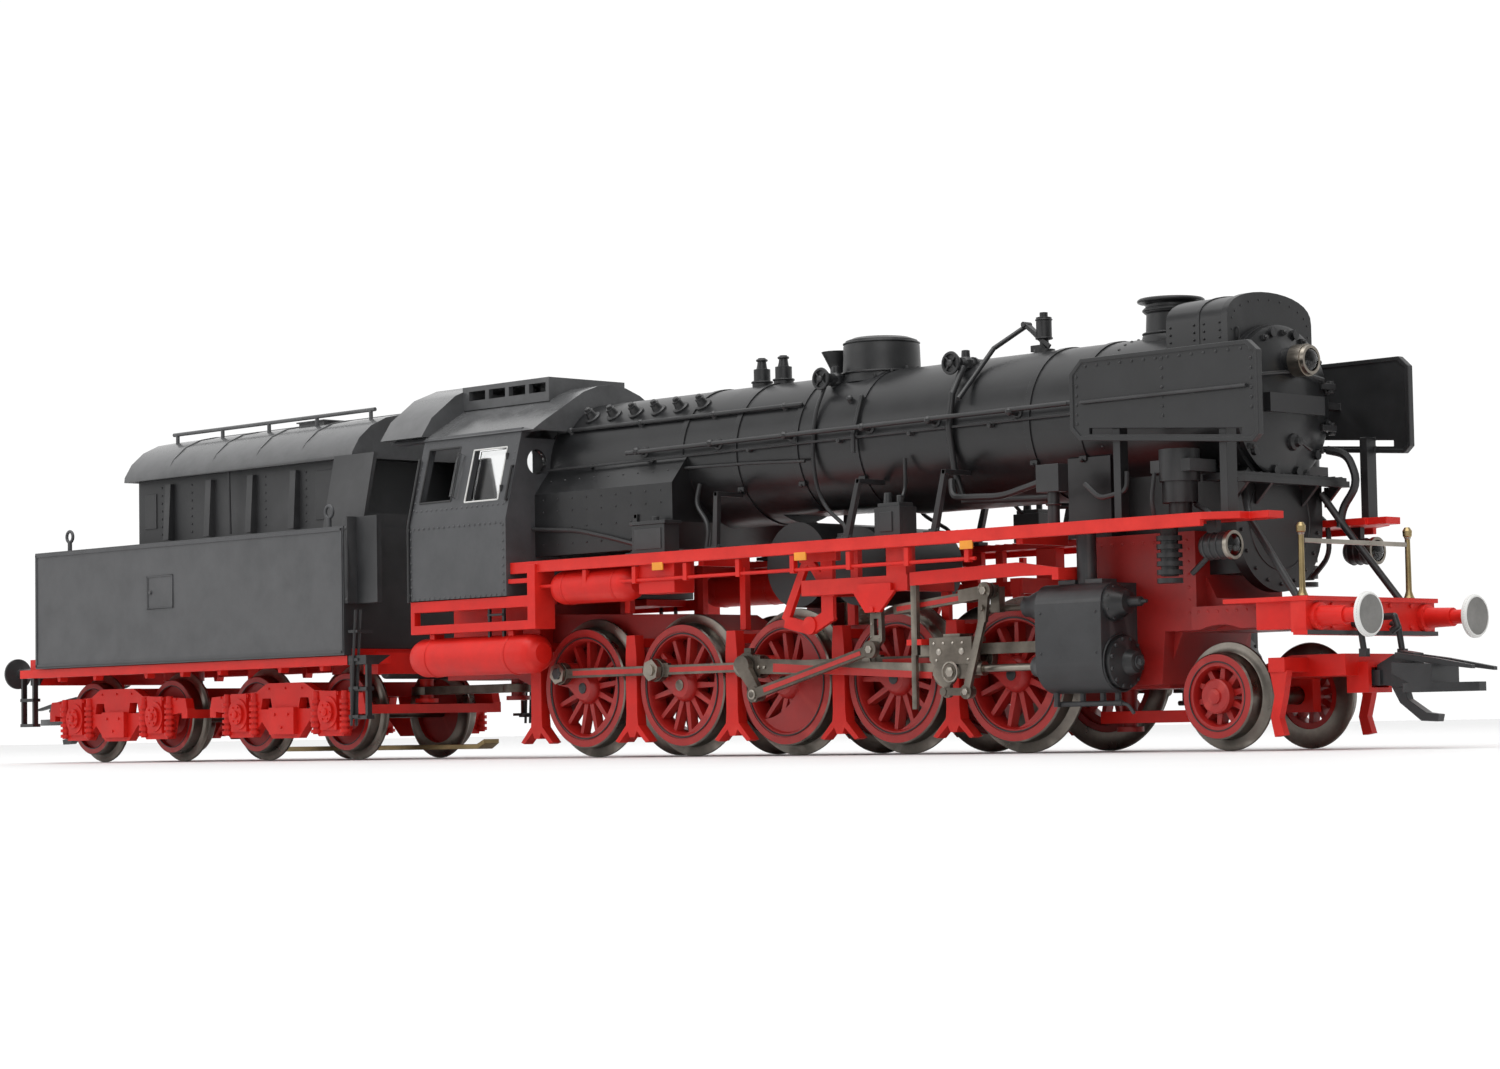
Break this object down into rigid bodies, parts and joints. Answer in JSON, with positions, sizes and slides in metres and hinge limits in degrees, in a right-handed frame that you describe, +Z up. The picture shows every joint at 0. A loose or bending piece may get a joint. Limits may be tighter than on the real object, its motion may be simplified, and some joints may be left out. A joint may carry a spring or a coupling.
{
  "type": "model train",
  "caption": "H0 gauge steam locomotive with cabin tender: turning spoked wheels, coupled rods and crossheads, swivelling truck, bogies and hook couplers.",
  "frame": {"origin": "under the middle of the train, at the level of the lowest points of the wheel flanges; the rail head would be 1.2 mm above it", "axes": "+X towards the engine's front, +Y to the engine's left, +Z up"},
  "size_m": [0.2816, 0.0352, 0.0531],
  "materials": {
    "black_moulding": "satin",
    "grey_black_moulding": "satin",
    "red_moulding": "satin",
    "dark_red_casting": "satin",
    "black_casting": "satin",
    "red_wheel_casting": "satin",
    "nickel_steel": "brushed",
    "dark_steel": "satin",
    "rod_red_steel": "satin",
    "clear_plastic": "clear",
    "white_grey_buffer": "satin",
    "brass": "satin",
    "motor_black": "satin",
    "gear_plastic": "gloss",
    "coupler_black": "satin"
  },
  "bodies": {
    "engine": {"chassis_frame": "dark_red_casting", "boiler_shell": "black_casting", "smokebox_door": "black_moulding", "boiler_mountings": "black_moulding", "handrails": "dark_steel", "cab_shell": "grey_black_moulding", "cab_glazing": "clear_plastic", "running_boards": "red_moulding", "smoke_deflectors": "black_moulding", "cylinder_blocks": "grey_black_moulding", "motion_brackets": "red_moulding", "air_reservoirs": "red_moulding", "brake_gear": "red_moulding", "buffer_beam": "red_moulding", "front_buffers": "white_grey_buffer", "lamp_housings": "black_moulding", "lamp_lenses": "clear_plastic", "motor_case": "motor_black"},
    "motor_rotor": {"motor_rotor": "nickel_steel"},
    "idler_gear": {"idler_gear": "gear_plastic"},
    "pony_truck": {"pony_truck_frame": "red_moulding"},
    "pony_wheels": {"pony_wheelset": "nickel_steel"},
    "front_coupler": {"front_coupler": "coupler_black"},
    "drawbar": {"drawbar": "dark_steel"},
    "tender": {"tender_frame": "red_moulding", "tender_body": "grey_black_moulding"},
    "tender_bogie_front": {"tender_bogie_front": "red_moulding"},
    "tender_bogie_rear": {"tender_bogie_rear": "red_moulding"},
    "rear_coupler": {"rear_coupler": "coupler_black"},
    "pickup_shoe": {"pickup_shoe": "brass"},
    "driver_1": {"driver_1_centres": "red_wheel_casting", "driver_1_tyres_axle": "nickel_steel"},
    "driver_2": {"driver_2_centres": "red_wheel_casting", "driver_2_tyres_axle": "nickel_steel"},
    "driver_3": {"driver_3_centres": "red_wheel_casting", "driver_3_tyres_axle": "nickel_steel"},
    "driver_4": {"driver_4_centres": "red_wheel_casting", "driver_4_tyres_axle": "nickel_steel"},
    "driver_5": {"driver_5_centres": "red_wheel_casting", "driver_5_tyres_axle": "nickel_steel"},
    "tender_wheels_1": {"tender_wheelset_1": "nickel_steel"},
    "tender_wheels_2": {"tender_wheelset_2": "nickel_steel"},
    "tender_wheels_3": {"tender_wheelset_3": "nickel_steel"},
    "tender_wheels_4": {"tender_wheelset_4": "nickel_steel"},
    "coupling_rod_r": {"coupling_rod_r": "rod_red_steel"},
    "connecting_rod_r": {"connecting_rod_r": "rod_red_steel"},
    "eccentric_rod_r": {"eccentric_rod_r": "rod_red_steel"},
    "radius_rod_r": {"radius_rod_r": "rod_red_steel"},
    "crosshead_r": {"crosshead_r": "nickel_steel"},
    "guide_plug_r": {"guide_plug_r": "red_wheel_casting"},
    "expansion_link_r": {"expansion_link_r": "nickel_steel"},
    "combination_lever_r": {"combination_lever_r": "nickel_steel"},
    "coupling_rod_l": {"coupling_rod_l": "rod_red_steel"},
    "connecting_rod_l": {"connecting_rod_l": "rod_red_steel"},
    "eccentric_rod_l": {"eccentric_rod_l": "rod_red_steel"},
    "radius_rod_l": {"radius_rod_l": "rod_red_steel"},
    "crosshead_l": {"crosshead_l": "nickel_steel"},
    "guide_plug_l": {"guide_plug_l": "red_wheel_casting"},
    "expansion_link_l": {"expansion_link_l": "nickel_steel"},
    "combination_lever_l": {"combination_lever_l": "nickel_steel"}
  },
  "joints": [
    {"name": "driver_3_spin", "type": "hinge", "parent": "engine", "child": "driver_3", "pos_m": [0.044, 0, 0.00925], "axis": [0, 1, 0], "continuous": true},
    {"name": "driver_1_spin", "type": "hinge", "parent": "engine", "child": "driver_1", "pos_m": [0.0819, 0, 0.00925], "axis": [0, 1, 0], "continuous": true},
    {"name": "driver_2_spin", "type": "hinge", "parent": "engine", "child": "driver_2", "pos_m": [0.06295, 0, 0.00925], "axis": [0, 1, 0], "continuous": true},
    {"name": "driver_4_spin", "type": "hinge", "parent": "engine", "child": "driver_4", "pos_m": [0.025, 0, 0.00925], "axis": [0, 1, 0], "continuous": true},
    {"name": "driver_5_spin", "type": "hinge", "parent": "engine", "child": "driver_5", "pos_m": [0.00605, 0, 0.00925], "axis": [0, 1, 0], "continuous": true},
    {"name": "idler_gear_spin", "type": "hinge", "parent": "engine", "child": "idler_gear", "pos_m": [0.044, 0, 0.018], "axis": [0, 1, 0], "continuous": true},
    {"name": "motor_rotor_spin", "type": "hinge", "parent": "engine", "child": "motor_rotor", "pos_m": [0.044, 0, 0.024], "axis": [0, 1, 0], "continuous": true},
    {"name": "coupling_rod_r_pin", "type": "hinge", "parent": "driver_3", "child": "coupling_rod_r", "pos_m": [0.04079, -0.01105, 0.01126], "axis": [0, 1, 0], "continuous": true},
    {"name": "connecting_rod_r_pin", "type": "hinge", "parent": "driver_3", "child": "connecting_rod_r", "pos_m": [0.04079, -0.0131, 0.01126], "axis": [0, 1, 0], "continuous": true},
    {"name": "eccentric_rod_r_pin", "type": "hinge", "parent": "driver_3", "child": "eccentric_rod_r", "pos_m": [0.0436, -0.01505, 0.0077], "axis": [0, 1, 0], "continuous": true},
    {"name": "guide_plug_r_spin", "type": "hinge", "parent": "driver_3", "child": "guide_plug_r", "pos_m": [0.04239, -0.0094, 0.01025], "axis": [0, 1, 0], "continuous": true},
    {"name": "crosshead_r_travel", "type": "hinge", "parent": "guide_plug_r", "child": "crosshead_r", "pos_m": [0.04079, -0.0131, 0.00925], "axis": [0, 1, 0], "continuous": true},
    {"name": "expansion_link_r_swing", "type": "hinge", "parent": "engine", "child": "expansion_link_r", "pos_m": [0.0642, -0.0142, 0.0175], "axis": [0, 1, 0], "range_deg": [-12, 12]},
    {"name": "radius_rod_r_slide", "type": "slide", "parent": "engine", "child": "radius_rod_r", "axis": [1, 0, 0], "range_m": [-0.0012, 0.0012]},
    {"name": "combination_lever_r_swing", "type": "hinge", "parent": "radius_rod_r", "child": "combination_lever_r", "pos_m": [0.0825, -0.0152, 0.019], "axis": [0, 1, 0], "range_deg": [-33, 3]},
    {"name": "coupling_rod_l_pin", "type": "hinge", "parent": "driver_3", "child": "coupling_rod_l", "pos_m": [0.04601, 0.01105, 0.01246], "axis": [0, 1, 0], "continuous": true},
    {"name": "connecting_rod_l_pin", "type": "hinge", "parent": "driver_3", "child": "connecting_rod_l", "pos_m": [0.04601, 0.0131, 0.01246], "axis": [0, 1, 0], "continuous": true},
    {"name": "eccentric_rod_l_pin", "type": "hinge", "parent": "driver_3", "child": "eccentric_rod_l", "pos_m": [0.04245, 0.01505, 0.00965], "axis": [0, 1, 0], "continuous": true},
    {"name": "guide_plug_l_spin", "type": "hinge", "parent": "driver_3", "child": "guide_plug_l", "pos_m": [0.045, 0.0094, 0.01086], "axis": [0, 1, 0], "continuous": true},
    {"name": "crosshead_l_travel", "type": "hinge", "parent": "guide_plug_l", "child": "crosshead_l", "pos_m": [0.04601, 0.0131, 0.00925], "axis": [0, 1, 0], "continuous": true},
    {"name": "expansion_link_l_swing", "type": "hinge", "parent": "engine", "child": "expansion_link_l", "pos_m": [0.0642, 0.0142, 0.0175], "axis": [0, 1, 0], "range_deg": [-12, 12]},
    {"name": "radius_rod_l_slide", "type": "slide", "parent": "engine", "child": "radius_rod_l", "axis": [1, 0, 0], "range_m": [-0.0012, 0.0012]},
    {"name": "combination_lever_l_swing", "type": "hinge", "parent": "radius_rod_l", "child": "combination_lever_l", "pos_m": [0.0825, 0.0152, 0.019], "axis": [0, 1, 0], "range_deg": [-9, 28]},
    {"name": "pony_truck_swivel", "type": "hinge", "parent": "engine", "child": "pony_truck", "pos_m": [0.0913, 0, 0.0037], "axis": [0, 0, 1], "range_deg": [-4, 4]},
    {"name": "pony_wheels_spin", "type": "hinge", "parent": "pony_truck", "child": "pony_wheels", "pos_m": [0.1118, 0, 0.0061], "axis": [0, 1, 0], "continuous": true},
    {"name": "front_coupler_swivel", "type": "hinge", "parent": "pony_truck", "child": "front_coupler", "pos_m": [0.1254, 0, 0.0078], "axis": [0, 0, 1], "range_deg": [-10, 10]},
    {"name": "drawbar_engine_swivel", "type": "hinge", "parent": "engine", "child": "drawbar", "pos_m": [-0.0192, 0, 0.0098], "axis": [0, 0, 1], "range_deg": [-10, 10]},
    {"name": "drawbar_tender_swivel", "type": "hinge", "parent": "drawbar", "child": "tender", "pos_m": [-0.0397, 0, 0.0098], "axis": [0, 0, 1], "range_deg": [-10, 10]},
    {"name": "tender_bogie_front_swivel", "type": "hinge", "parent": "tender", "child": "tender_bogie_front", "pos_m": [-0.05693, 0, 0.0102], "axis": [0, 0, 1], "range_deg": [-5, 5]},
    {"name": "tender_bogie_rear_swivel", "type": "hinge", "parent": "tender", "child": "tender_bogie_rear", "pos_m": [-0.1006, 0, 0.0102], "axis": [0, 0, 1], "range_deg": [-5, 5]},
    {"name": "tender_wheels_1_spin", "type": "hinge", "parent": "tender_bogie_front", "child": "tender_wheels_1", "pos_m": [-0.046, 0, 0.00695], "axis": [0, 1, 0], "continuous": true},
    {"name": "tender_wheels_2_spin", "type": "hinge", "parent": "tender_bogie_front", "child": "tender_wheels_2", "pos_m": [-0.06785, 0, 0.00695], "axis": [0, 1, 0], "continuous": true},
    {"name": "tender_wheels_3_spin", "type": "hinge", "parent": "tender_bogie_rear", "child": "tender_wheels_3", "pos_m": [-0.0897, 0, 0.00695], "axis": [0, 1, 0], "continuous": true},
    {"name": "tender_wheels_4_spin", "type": "hinge", "parent": "tender_bogie_rear", "child": "tender_wheels_4", "pos_m": [-0.1115, 0, 0.00695], "axis": [0, 1, 0], "continuous": true},
    {"name": "rear_coupler_swivel", "type": "hinge", "parent": "tender", "child": "rear_coupler", "pos_m": [-0.1254, 0, 0.0078], "axis": [0, 0, 1], "range_deg": [-10, 10]},
    {"name": "pickup_shoe_travel", "type": "slide", "parent": "tender", "child": "pickup_shoe", "axis": [0, 0, 1], "range_m": [0, 0.0012], "stiffness_N_per_m": 25, "springref_m": -0.0006}
  ],
  "couplings": [
    {"joint": "driver_1_spin", "follows": "driver_3_spin", "ratio": 1},
    {"joint": "driver_2_spin", "follows": "driver_3_spin", "ratio": 1},
    {"joint": "driver_4_spin", "follows": "driver_3_spin", "ratio": 1},
    {"joint": "driver_5_spin", "follows": "driver_3_spin", "ratio": 1},
    {"joint": "idler_gear_spin", "follows": "driver_3_spin", "ratio": -0.75},
    {"joint": "motor_rotor_spin", "follows": "driver_3_spin", "ratio": 3.75},
    {"joint": "coupling_rod_r_pin", "follows": "driver_3_spin", "ratio": -1},
    {"joint": "connecting_rod_r_pin", "follows": "driver_3_spin", "ratio": -1},
    {"joint": "eccentric_rod_r_pin", "follows": "driver_3_spin", "ratio": -1},
    {"joint": "guide_plug_r_spin", "follows": "driver_3_spin", "ratio": -2},
    {"joint": "crosshead_r_travel", "follows": "driver_3_spin", "ratio": 1},
    {"joint": "coupling_rod_l_pin", "follows": "driver_3_spin", "ratio": -1},
    {"joint": "connecting_rod_l_pin", "follows": "driver_3_spin", "ratio": -1},
    {"joint": "eccentric_rod_l_pin", "follows": "driver_3_spin", "ratio": -1},
    {"joint": "guide_plug_l_spin", "follows": "driver_3_spin", "ratio": -2},
    {"joint": "crosshead_l_travel", "follows": "driver_3_spin", "ratio": 1}
  ]
}
